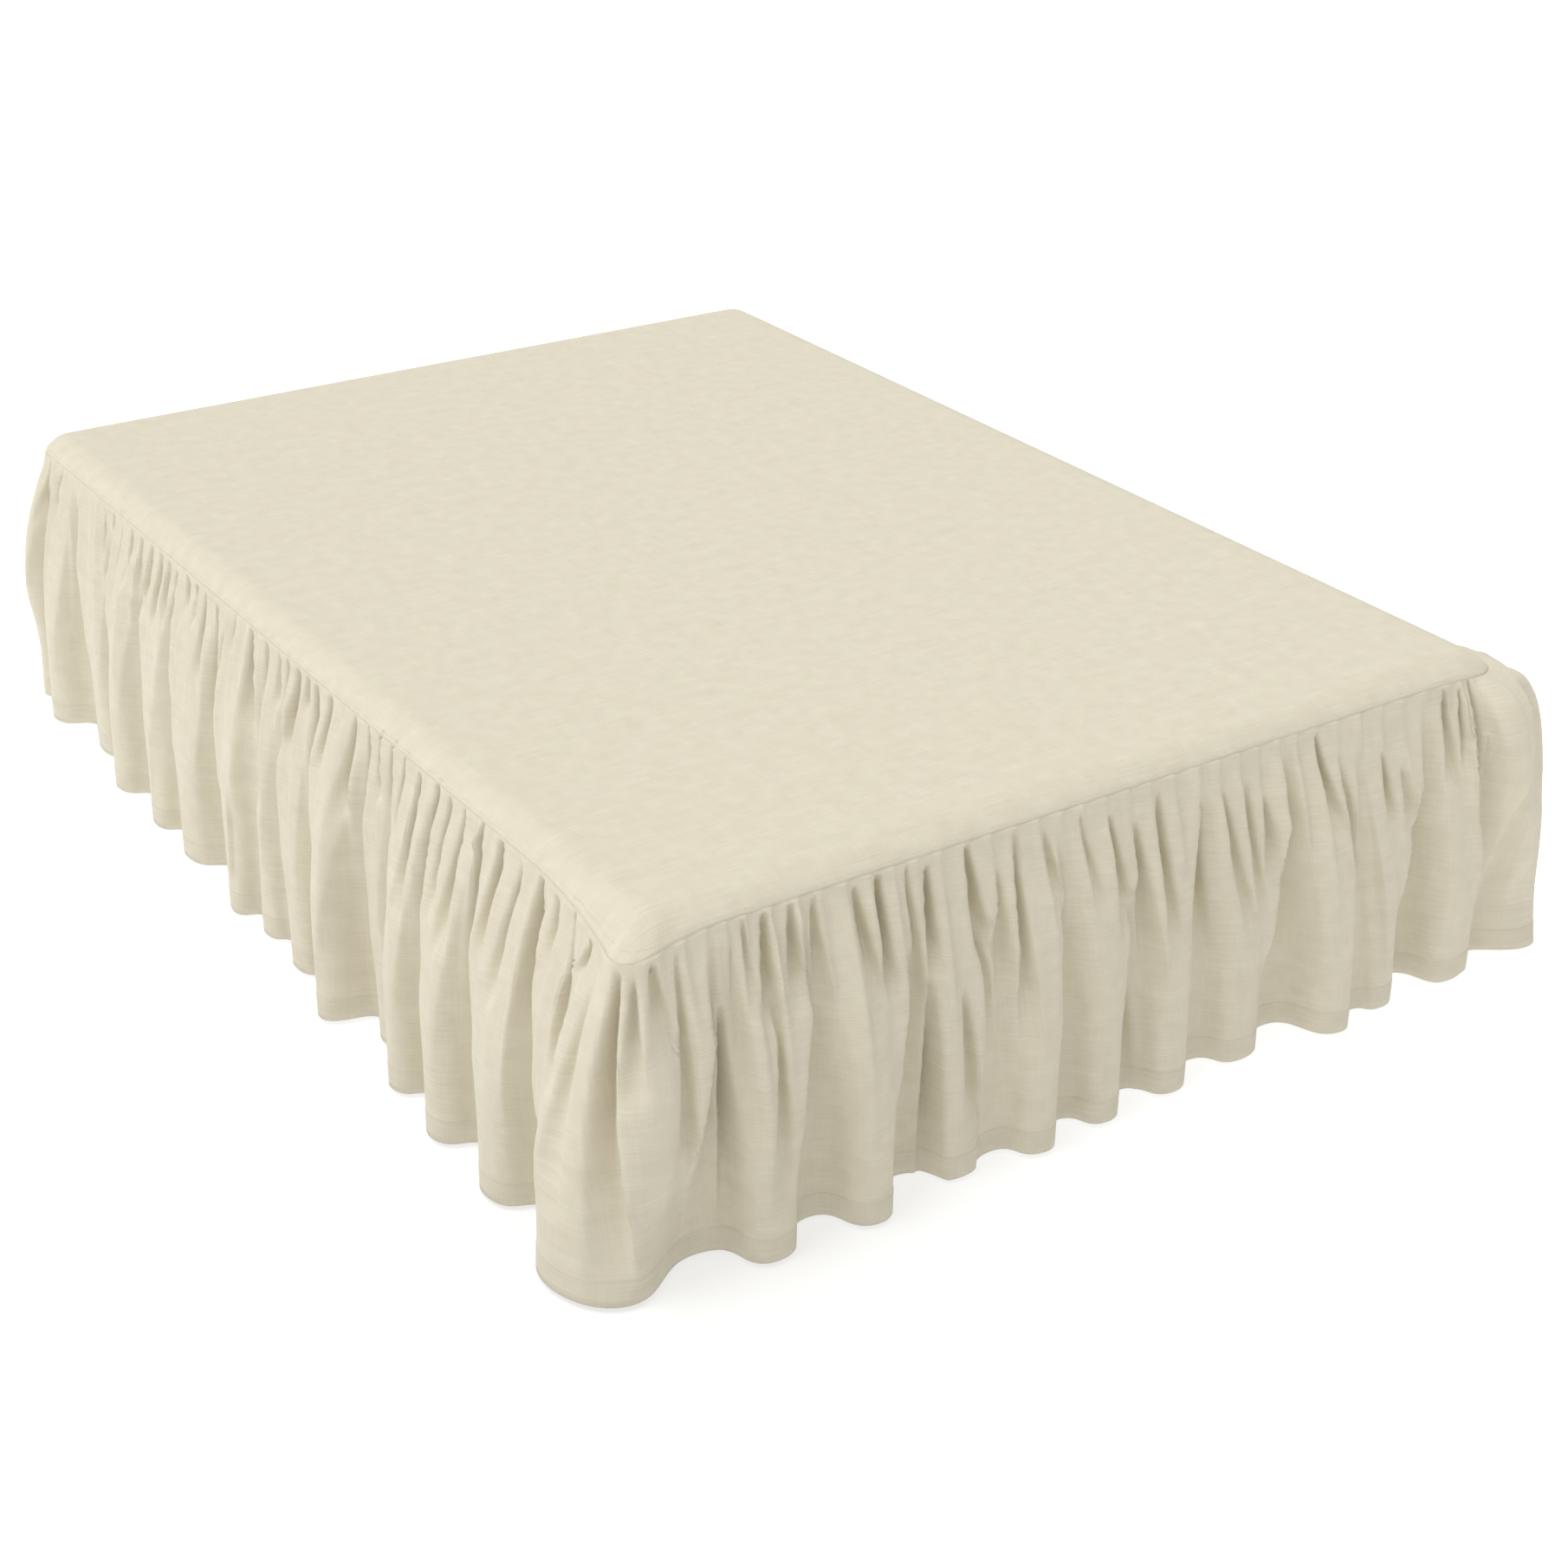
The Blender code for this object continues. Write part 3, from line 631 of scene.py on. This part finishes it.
def makeRuffle():
    shape = HangingCloth()
    clothWidth = ruffle["clothPerGather"] * shape.count
    clothDrop = seamHeight - ruffle["hemHeight"]
    drops = rowDrops(hang["fineRows"])
    made = hangShape(shape, drops, hang["fineColumns"])
    grid, places = made[:, :, :3], made[:, :, 3]
    coarseDrops = rowDrops(hang["rows"])
    first = hangShape(shape, coarseDrops, hang["columns"])[:, :, :3]
    moved = settle(first, coarseDrops) - first
    across = np.linspace(0, first.shape[1] - 1, grid.shape[1])
    down = np.array([hang["rows"] * drop ** (1 / hang["crowding"]) for drop in drops])
    moved = alongCurve(moved, down)
    grid = grid + alongCurve(moved.transpose(1, 0, 2), across).transpose(1, 0, 2)
    print("ruffle settled:", grid.shape[0], "rows of", grid.shape[1], "points")

    # The hem turned up inside, and the seam's edge tucked under the deck's rim
    normals = unit(np.cross(np.gradient(grid, axis=0), np.gradient(grid, axis=1)))
    down = clothDrop * np.array(drops)
    inHem = np.clip((down - (clothDrop - hem["depth"])) / hem["proudOver"], 0, 1)
    grid = grid + normals * (hem["proud"] * inHem)[:, None, None]
    grid[:, :, 2] = np.maximum(grid[:, :, 2], hem["floorGap"])
    hemLine = np.interp(clothDrop - hem["depth"] + stitches["aboveHem"], down, range(len(down)))
    sewn = stitchRow("hemStitches", alongCurve(grid, np.array([hemLine]))[0], normals[int(hemLine)])
    back = slice(None, -hem["turnRows"] - 1, -1)
    turned = grid[back] - normals[back] * hem["thickness"]
    tuck = grid[:1] - normals[:1] * hem["tuckIn"] + np.array([0, 0, hem["tuckUp"]])
    grid = np.concatenate([tuck, grid, turned])
    down = np.concatenate([[-hem["tuckCloth"]], down, down[back]])
    places = np.concatenate([places[:1], places, places[back]])
    cloth = np.empty(grid.shape[:2] + (2,))
    cloth[:, :, 0] = places * ruffle["clothPerGather"]
    cloth[:, :, 1] = down[:, None]
    piece = gridMesh("ruffleCloth", grid, cloth)
    print("ruffle drawn:", len(piece.data.polygons), "faces")
    return piece, sewn, (clothWidth, clothDrop + hem["depth"] + hem["allowance"])


# The deck: a flat panel with its rim turned down to the seam
deck = {
    "spacing": 0.008,  # between the lines of its mesh
    "rimLines": 12,
    "curl": 0.004,  # cloth that goes on behind the ruffle's top
    "curlIn": 0.55,  # how far that leads inwards and downwards
    "curlDown": 0.80,
    "lip": 0.0002,  # how far the rim stands over the seam
    "lipReach": 0.003,
    "pucker": 0.0018,  # height of the small puckers along the rim
    "puckerLength": 0.035,
    "puckerDrift": (1.5, 0.9),  # how far they stray along the rim, and how often
    "puckerSwell": (0.3, 2.3),  # how far they differ in height, and how often
    "puckerFrom": 0.006,  # they are highest this far from the seam
    "puckerReach": 0.013,
    "puckerEnd": (0.001, 0.007),  # they end this near to it, and fade over this length
    "sag": 0.004,  # what the surface gives way beside a full corner
    "sagReach": 0.035,
    "waves": 0.0012,  # depth of the flat part's waves
    "waveLengths": (0.62, 0.29),
    "waveDrift": (2, 1.4),
    "driftLengths": (0.235, 0.12),
    "waveFade": 0.12,  # they begin this far from the seam
    "mapShift": 10,  # keeps its weave away from the ruffle's
}


def deckLines(half):
    # Distances from the middle to each line, in the flat cloth
    flatHalf = half - bed["corner"]
    inner = np.linspace(0, flatHalf, round(flatHalf / deck["spacing"]) + 1)[1:]
    rim = np.linspace(0, rimBend * rimTurn, deck["rimLines"] + 1)[1:]
    rim = np.append(rim, rim[-1] + deck["curl"])
    positive = np.concatenate([inner, flatHalf + rim])
    return np.concatenate([-positive[::-1], [0], positive]), flatHalf, rim[-1]


def makeDeck():
    linesX, flatX, depth = deckLines(bedHalfX)
    linesY, flatY, _ = deckLines(bedHalfY)
    x, y = np.meshgrid(linesX, linesY)
    a = np.clip((np.abs(x) - flatX) / depth, 0, 1)
    b = np.clip((np.abs(y) - flatY) / depth, 0, 1)
    discX = a * np.sqrt(1 - b * b / 2)
    discY = b * np.sqrt(1 - a * a / 2)
    away = np.maximum(np.hypot(discX, discY), 1e-9)
    arc = away * depth
    angle = np.minimum(arc / rimBend, rimTurn)
    under = np.maximum(arc - depth + deck["curl"], 0)
    radius = rimBend * np.sin(angle) - deck["curlIn"] * under
    toSeam = np.maximum(depth - deck["curl"] - arc, 0)
    along = np.where(a > b, y, x) / deck["puckerLength"]
    stray, often = deck["puckerDrift"]
    pucker = np.sin(2 * math.pi * along + stray * np.sin(along * often))
    swell, often = deck["puckerSwell"]
    pucker = deck["pucker"] * pucker * (1 - swell + swell * np.sin(along * often))
    pucker = pucker * np.exp(-((toSeam - deck["puckerFrom"]) / deck["puckerReach"]) ** 2)
    end, over = deck["puckerEnd"]
    pucker = pucker * smooth((toSeam - end) / over)
    lip = deck["lip"] * np.exp(-(toSeam / deck["lipReach"]) ** 2)
    radius += (pucker + lip) * (arc > 0)
    points = np.empty(x.shape + (3,))
    points[:, :, 0] = np.sign(x) * (np.minimum(np.abs(x), flatX) + radius * discX / away)
    points[:, :, 1] = np.sign(y) * (np.minimum(np.abs(y), flatY) + radius * discY / away)
    points[:, :, 2] = deckTop - rimBend * (1 - np.cos(angle)) - deck["curlDown"] * under
    waves = 0
    for p, q, length, drift, driftLength in zip((x, y), (y, x), deck["waveLengths"],
                                                deck["waveDrift"], deck["driftLengths"]):
        waves = waves + np.sin(p * 2 * math.pi / length + drift * np.sin(q / driftLength))
    points[:, :, 2] -= deck["waves"] * (2 + waves) / 4 * smooth(toSeam / deck["waveFade"])
    points[:, :, :2] += np.array(bedMiddle)[:2]
    edgeAway = np.minimum(bedHalfX - np.abs(points[:, :, 0] - bedMiddle.x),
                          bedHalfY - np.abs(points[:, :, 1] - bedMiddle.y))
    lowered = smooth((deckTop - points[:, :, 2]) / bed["seamDrop"])
    shift = cornerShift(points[:, :, 0], points[:, :, 1])
    give = deck["sag"] * np.exp(-(edgeAway / deck["sagReach"]) ** 2)
    full = -shift[:, :, 2] / fullCorners[0].dip
    points += shift * lowered[:, :, None]
    points[:, :, 2] -= give * full * (1 - lowered)
    cloth = np.stack([x, y], axis=2) + deck["mapShift"]
    piece = gridMesh("deckCloth", points[::-1], cloth[::-1])
    print("deck drawn:", len(piece.data.polygons), "faces")
    beyond = depth + hem["allowance"]
    return piece, (2 * (flatX + beyond), 2 * (flatY + beyond))


# Rows of stitches, each a small bar sunk halfway into the cloth
stitches = {
    "length": 0.0034,
    "pitch": 0.0050,
    "width": 0.0009,
    "taper": 0.3,  # share of its length from the middle to where it gets thinner
    "aboveSeam": 0.0045,
    "aboveHem": 0.0020,  # into the hem from its upper edge
    "probeEvery": 0.004,  # how often the deck's rim is probed for its row
    "probeFrom": 0.05,
    "probeLength": 0.10,
}


def stitchRow(name, line, normals):
    length = lengthAlong(line)
    middles = (np.arange(int(length[-1] / stitches["pitch"])) + 0.5) * stitches["pitch"]

    def along(values, places):
        return np.stack([np.interp(places, length, values[:, axis]) for axis in range(3)], axis=1)

    half = stitches["length"] / 2
    centre = along(line, middles)
    forward = unit(along(line, middles + half) - along(line, middles - half))
    up = along(normals, middles)
    up = unit(up - forward * (up * forward).sum(axis=1, keepdims=True))
    across = np.cross(up, forward) * stitches["width"] / 2
    up = up * stitches["width"] / 2
    full = forward * stitches["length"] * stitches["taper"]
    around = (up, across, -up, -across)
    corners = [centre - forward * half]
    corners += [centre - full + way for way in around]
    corners += [centre + full + way for way in around]
    corners.append(centre + forward * half)
    points = np.stack(corners, axis=1)
    one = []
    for i in range(4):
        j = (i + 1) % 4
        one += [(0, 1 + i, 1 + j), (1 + i, 5 + i, 5 + j, 1 + j), (9, 5 + j, 5 + i)]
    faces = [tuple(k + 10 * n for k in face) for n in range(len(points)) for face in one]
    print(name + ":", len(points), "stitches")
    return newPiece(name, points, faces)


def seamStitches(piece):
    # A row just above the seam, found on the deck's rim from outside
    tree = BVHTree.FromPolygons([v.co for v in piece.data.vertices],
                                [p.vertices for p in piece.data.polygons])
    edge = BedEdge(bed["corner"])
    places = np.linspace(0, edge.length, round(edge.length / stitches["probeEvery"]))
    points, outward, _ = edge.points(places)
    shift = cornerShift(points[:, 0], points[:, 1])
    line, normals = [], []
    for point, way, moved in zip(points, outward, shift):
        height = seamHeight + stitches["aboveSeam"] + moved[2]
        start = Vector((*(point + moved[:2] + way * stitches["probeFrom"]), height))
        hit, normal, _, _ = tree.ray_cast(start, Vector((*-way, 0)), stitches["probeLength"])
        if hit is not None:
            line.append(hit)
            normals.append(normal if normal.dot(Vector((*way, 0))) > 0 else -normal)
    return stitchRow("seamStitches", np.array(line), np.array(normals))


# Cotton: plain weave with slubs along the cloth and a soft mottle; on the ruffle, a darker hem and
# painted shade along the seam
cotton = {
    "light": (0.715, 0.664, 0.532),
    "dark": (0.620, 0.568, 0.443),
    "tones": (0.45, 0.85),  # the mixed noise's range from dark to light
    "roughness": 0.92,
    "sheen": 0.15,
    "sheenRoughness": 0.6,
    "hemTint": 0.96,
    "hemEdge": 0.001,  # half the width over which the hem's tint begins
    # painted shade: the ruffle's cloth is painted darker next to the seam, where the deck's rim shades
    # it; how dark, and over what distances from the seam
    "seamPaintedShade": 0.94,
    "seamShade": (0.0026, 0.0006),  # none this far from the seam, and full this near
    "threadPitch": 0.0011,
    "slubLength": 0.07,
    "slubWidth": 0.0016,
    "slubs": 0.6,  # shares of the slubs, the upright ones and the mottle
    "uprightSlubs": 0.25,
    "mottle": 0.45,
    "mottleScale": 38.0,
    "weave": 0.3,  # share of the weave in the bump, beside the slubs
    "bump": 0.35,
    "bumpDepth": 0.0006,
}
shine = 0.25  # specular level of every finish


def newMaterial(name, roughness, sheen=0.0):
    made = bpy.data.materials.new(name)
    made.use_nodes = True
    shader = made.node_tree.nodes["Principled BSDF"]
    shader.inputs["Roughness"].default_value = roughness
    shader.inputs["Sheen Weight"].default_value = sheen
    shader.inputs["Specular IOR Level"].default_value = shine
    return made, made.node_tree, shader


def addNode(tree, kind, settings=None, **inputs):
    # A node with its settings. Its inputs go by name, or by i and number, and take values or sockets.
    node = tree.nodes.new(kind)
    for key, value in (settings or {}).items():
        setattr(node, key, value)
    for key, value in inputs.items():
        socket = node.inputs[int(key[1:]) if key[1:].isdigit() else key]
        if isinstance(value, bpy.types.NodeSocket):
            tree.links.new(value, socket)
        else:
            socket.default_value = value
    return node


def maths(tree, operation, first, second=0.0):
    return addNode(tree, "ShaderNodeMath", {"operation": operation}, i0=first, i1=second).outputs[0]


def noise(tree, place, scale, detail, distortion=0.0):
    return addNode(tree, "ShaderNodeTexNoise", Vector=place, Scale=scale, Detail=detail,
                   Distortion=distortion).outputs[0]


def twoTones(tree, share, dark, light):
    return addNode(tree, "ShaderNodeMix", {"data_type": "RGBA"}, i0=share,
                   i6=(*dark, 1), i7=(*light, 1)).outputs[2]


def darkenedBand(tree, colour, tint, place, start, end):
    # The colour is multiplied by the tint as place goes from start to end: the hem's own darker tone,
    # and painted shade along the seam
    share = addNode(tree, "ShaderNodeMapRange", {"interpolation_type": "SMOOTHSTEP"},
                    Value=place, i1=start, i2=end).outputs[0]
    return addNode(tree, "ShaderNodeMix", {"data_type": "RGBA", "blend_type": "MULTIPLY"},
                   i0=share, i6=colour, i7=(tint, tint, tint, 1)).outputs[2]


def addBump(tree, shader, height, strength, depth):
    bump = addNode(tree, "ShaderNodeBump", Height=height, Strength=strength, Distance=depth)
    tree.links.new(bump.outputs[0], shader.inputs["Normal"])


def slubNoise(tree, place, lengthX, lengthY):
    place = addNode(tree, "ShaderNodeMapping", Vector=place, Scale=(1 / lengthX, 1 / lengthY, 1))
    return noise(tree, place.outputs[0], 1.0, 2.0)


def cottonMaterial(name, hemStart=None):
    made, tree, shader = newMaterial(name, cotton["roughness"], cotton["sheen"])
    shader.inputs["Sheen Roughness"].default_value = cotton["sheenRoughness"]
    place = addNode(tree, "ShaderNodeUVMap", {"uv_map": "cloth"}).outputs["UV"]
    parts = addNode(tree, "ShaderNodeSeparateXYZ", i0=place)
    turns = 2 * math.pi / cotton["threadPitch"]
    warp = maths(tree, "SINE", maths(tree, "MULTIPLY", parts.outputs["X"], turns))
    weft = maths(tree, "SINE", maths(tree, "MULTIPLY", parts.outputs["Y"], turns))
    weave = maths(tree, "MULTIPLY", warp, weft)
    lying = slubNoise(tree, place, cotton["slubLength"], cotton["slubWidth"])
    upright = slubNoise(tree, place, cotton["slubWidth"], cotton["slubLength"])
    mottle = noise(tree, place, cotton["mottleScale"], 4.0)
    streaks = maths(tree, "ADD", maths(tree, "MULTIPLY", lying, cotton["slubs"]),
                    maths(tree, "MULTIPLY", upright, cotton["uprightSlubs"]))
    tone = maths(tree, "ADD", streaks, maths(tree, "MULTIPLY", mottle, cotton["mottle"]))
    low, high = cotton["tones"]
    tone = addNode(tree, "ShaderNodeMapRange", Value=tone, i1=low, i2=high).outputs[0]
    colour = twoTones(tree, tone, cotton["dark"], cotton["light"])
    if hemStart is not None:
        fromSeam = parts.outputs["Y"]
        edge = cotton["hemEdge"]
        colour = darkenedBand(tree, colour, cotton["hemTint"], fromSeam, hemStart - edge, hemStart + edge)
        # painted shade along the seam: the cloth is painted darker towards the seam, where the deck's
        # rim shades it
        colour = darkenedBand(tree, colour, cotton["seamPaintedShade"], fromSeam, *cotton["seamShade"])
    tree.links.new(colour, shader.inputs["Base Color"])
    height = maths(tree, "ADD", maths(tree, "MULTIPLY", weave, cotton["weave"]), streaks)
    addBump(tree, shader, height, cotton["bump"], cotton["bumpDepth"])
    return made


# The other finishes: two tones mixed by a grain, some with its bump
plainFinish = {
    "sheen": 0.1, "stretch": (1, 1, 1), "distortion": 0.0, "bump": 0.0, "bumpDepth": 0.0005,
}
finishes = {
    "cottonThread": {
        "roughness": 0.7, "scale": 900.0, "detail": 2.0,
        "dark": cotton["dark"], "light": cotton["light"],
    },
    "boxTicking": {
        "roughness": 0.85, "scale": 420.0, "detail": 3.0, "bump": 0.3,
        "dark": (0.70, 0.68, 0.63), "light": (0.80, 0.78, 0.73),
    },
    "legWood": {
        "roughness": 0.45, "scale": 1.0, "detail": 6.0, "bump": 0.15, "sheen": 0.0,
        "stretch": (60, 60, 5), "distortion": 0.6,
        "dark": (0.22, 0.12, 0.06), "light": (0.50, 0.32, 0.18),
    },
}


def grainedMaterial(name):
    finish = plainFinish | finishes[name]
    made, tree, shader = newMaterial(name, finish["roughness"], finish["sheen"])
    place = addNode(tree, "ShaderNodeTexCoord").outputs["Object"]
    place = addNode(tree, "ShaderNodeMapping", Vector=place, Scale=finish["stretch"]).outputs[0]
    grain = noise(tree, place, finish["scale"], finish["detail"], finish["distortion"])
    colour = twoTones(tree, grain, finish["dark"], finish["light"])
    tree.links.new(colour, shader.inputs["Base Color"])
    if finish["bump"]:
        addBump(tree, shader, grain, finish["bump"], finish["bumpDepth"])
    return made


def paint(piece, material):
    piece.data.materials.clear()
    piece.data.materials.append(material)


# The studio: a pale floor that glows as painted light, washing out the shadows cast on it and lighting
# the cloth from below, dimmer beside the foot's left corner; one large soft light from high on the left
# and a sky brighter there
studio = {
    "floorSize": 400.0,
    "floorColour": (0.30, 0.30, 0.297),
    "floorStep": 0.01,  # between its two tones
    "floorScale": 0.5,
    "floorRoughness": 0.9,
    "glowColour": (1, 1, 0.99),
    "floorGlow": (0.68, 1.05),  # beside the foot's left corner, and away from it
    "floorReach": (0.2, 2.2),  # metres from that corner between which it grows
    "skyColour": (1.0, 1.0, 0.99),
    "skyDark": 0.27,  # strength away from the light, and towards it
    "skyBright": 0.85,
    "skyTowards": (-0.55, 0.24, 0.80),
    "sunStrength": 1.52,
    "sunSpread": 26,
    "sunTowards": (0.28, -0.12, -0.95),
}
view = {
    "back": (-1.974, -3.117),  # from the middle of the bed
    "above": 1.490,  # above the deck
    "heading": 34.41,
    "tilt": 27.56,
    "roll": 0.86,
    "lens": 59.28,
    "sensor": 36.0,
}


def makeStudio():
    scene = bpy.context.scene
    world = bpy.data.worlds.new("studioSky")
    world.use_nodes = True
    sky = world.node_tree.nodes["Background"]
    sky.inputs["Color"].default_value = (*studio["skyColour"], 1)
    tree = world.node_tree
    around = addNode(tree, "ShaderNodeTexCoord").outputs["Generated"]
    facing = addNode(tree, "ShaderNodeVectorMath", {"operation": "DOT_PRODUCT"}, i0=around,
                     i1=studio["skyTowards"])
    strength = addNode(tree, "ShaderNodeMapRange", Value=facing.outputs["Value"], i1=-1.0, i2=1.0,
                       i3=studio["skyDark"], i4=studio["skyBright"])
    tree.links.new(strength.outputs[0], sky.inputs["Strength"])
    scene.world = world
    scene.view_settings.view_transform = "Standard"
    light = bpy.data.lights.new("softKey", "SUN")
    light.energy = studio["sunStrength"]
    light.angle = math.radians(studio["sunSpread"])
    lamp = newObject("softKey", light)
    lamp.rotation_euler = Vector(studio["sunTowards"]).to_track_quat("-Z", "Y").to_euler()
    bpy.ops.mesh.primitive_plane_add(size=studio["floorSize"])
    floor = bpy.context.object
    floor.name = "floor"
    made, tree, shader = newMaterial("floorPaint", studio["floorRoughness"])
    share = addNode(tree, "ShaderNodeTexNoise", Scale=studio["floorScale"]).outputs[0]
    paler = [part + studio["floorStep"] for part in studio["floorColour"]]
    tree.links.new(twoTones(tree, share, studio["floorColour"], paler), shader.inputs["Base Color"])
    # painted light: the floor glows, so shadows on it wash out and it lights the cloth from below; the
    # glow is dimmer beside the foot's left corner, so the cloth there gets less of it
    shader.inputs["Emission Color"].default_value = (*studio["glowColour"], 1)
    around = addNode(tree, "ShaderNodeNewGeometry").outputs["Position"]
    away = addNode(tree, "ShaderNodeVectorMath", {"operation": "DISTANCE"}, i0=around,
                   i1=(bedMiddle.x - bedHalfX, bedMiddle.y - bedHalfY, 0))
    near, far = studio["floorReach"]
    dim, bright = studio["floorGlow"]
    glow = addNode(tree, "ShaderNodeMapRange", Value=away.outputs["Value"], i1=near, i2=far,
                   i3=dim, i4=bright)
    tree.links.new(glow.outputs[0], shader.inputs["Emission Strength"])
    paint(floor, made)


def makeCamera():
    camera = bpy.data.cameras.new("camera")
    camera.lens = view["lens"]
    camera.sensor_width = view["sensor"]
    holder = newObject("camera", camera)
    place = Vector((bedMiddle.x + view["back"][0], bedMiddle.y + view["back"][1],
                    deckTop + view["above"]))
    turn = Matrix.Rotation(math.radians(-view["heading"]), 4, "Z")
    turn @= Matrix.Rotation(math.radians(90 - view["tilt"]), 4, "X")
    turn @= Matrix.Rotation(math.radians(view["roll"]), 4, "Z")
    holder.matrix_world = Matrix.Translation(place) @ turn
    bpy.context.scene.camera = holder


makeStudio()
makeCamera()
ruffleCloth, hemThread, ruffleFlat = makeRuffle()
paint(ruffleCloth, cottonMaterial("ruffleCotton", seamHeight - ruffle["hemHeight"] - hem["depth"]))
deckCloth, deckFlat = makeDeck()
paint(deckCloth, cottonMaterial("deckCotton"))
seamThread = seamStitches(deckCloth)
thread = grainedMaterial("cottonThread")
for row in (hemThread, seamThread):
    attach(row, "root")
    paint(row, thread)
for piece, node in ((ruffleCloth, "ruffle"), (deckCloth, "deck")):
    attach(piece, "root")
    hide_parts(node)
paint(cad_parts["box_spring"], grainedMaterial("boxTicking"))
wood = grainedMaterial("legWood")
for name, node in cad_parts.items():
    if name.startswith("leg_"):
        paint(node, wood)
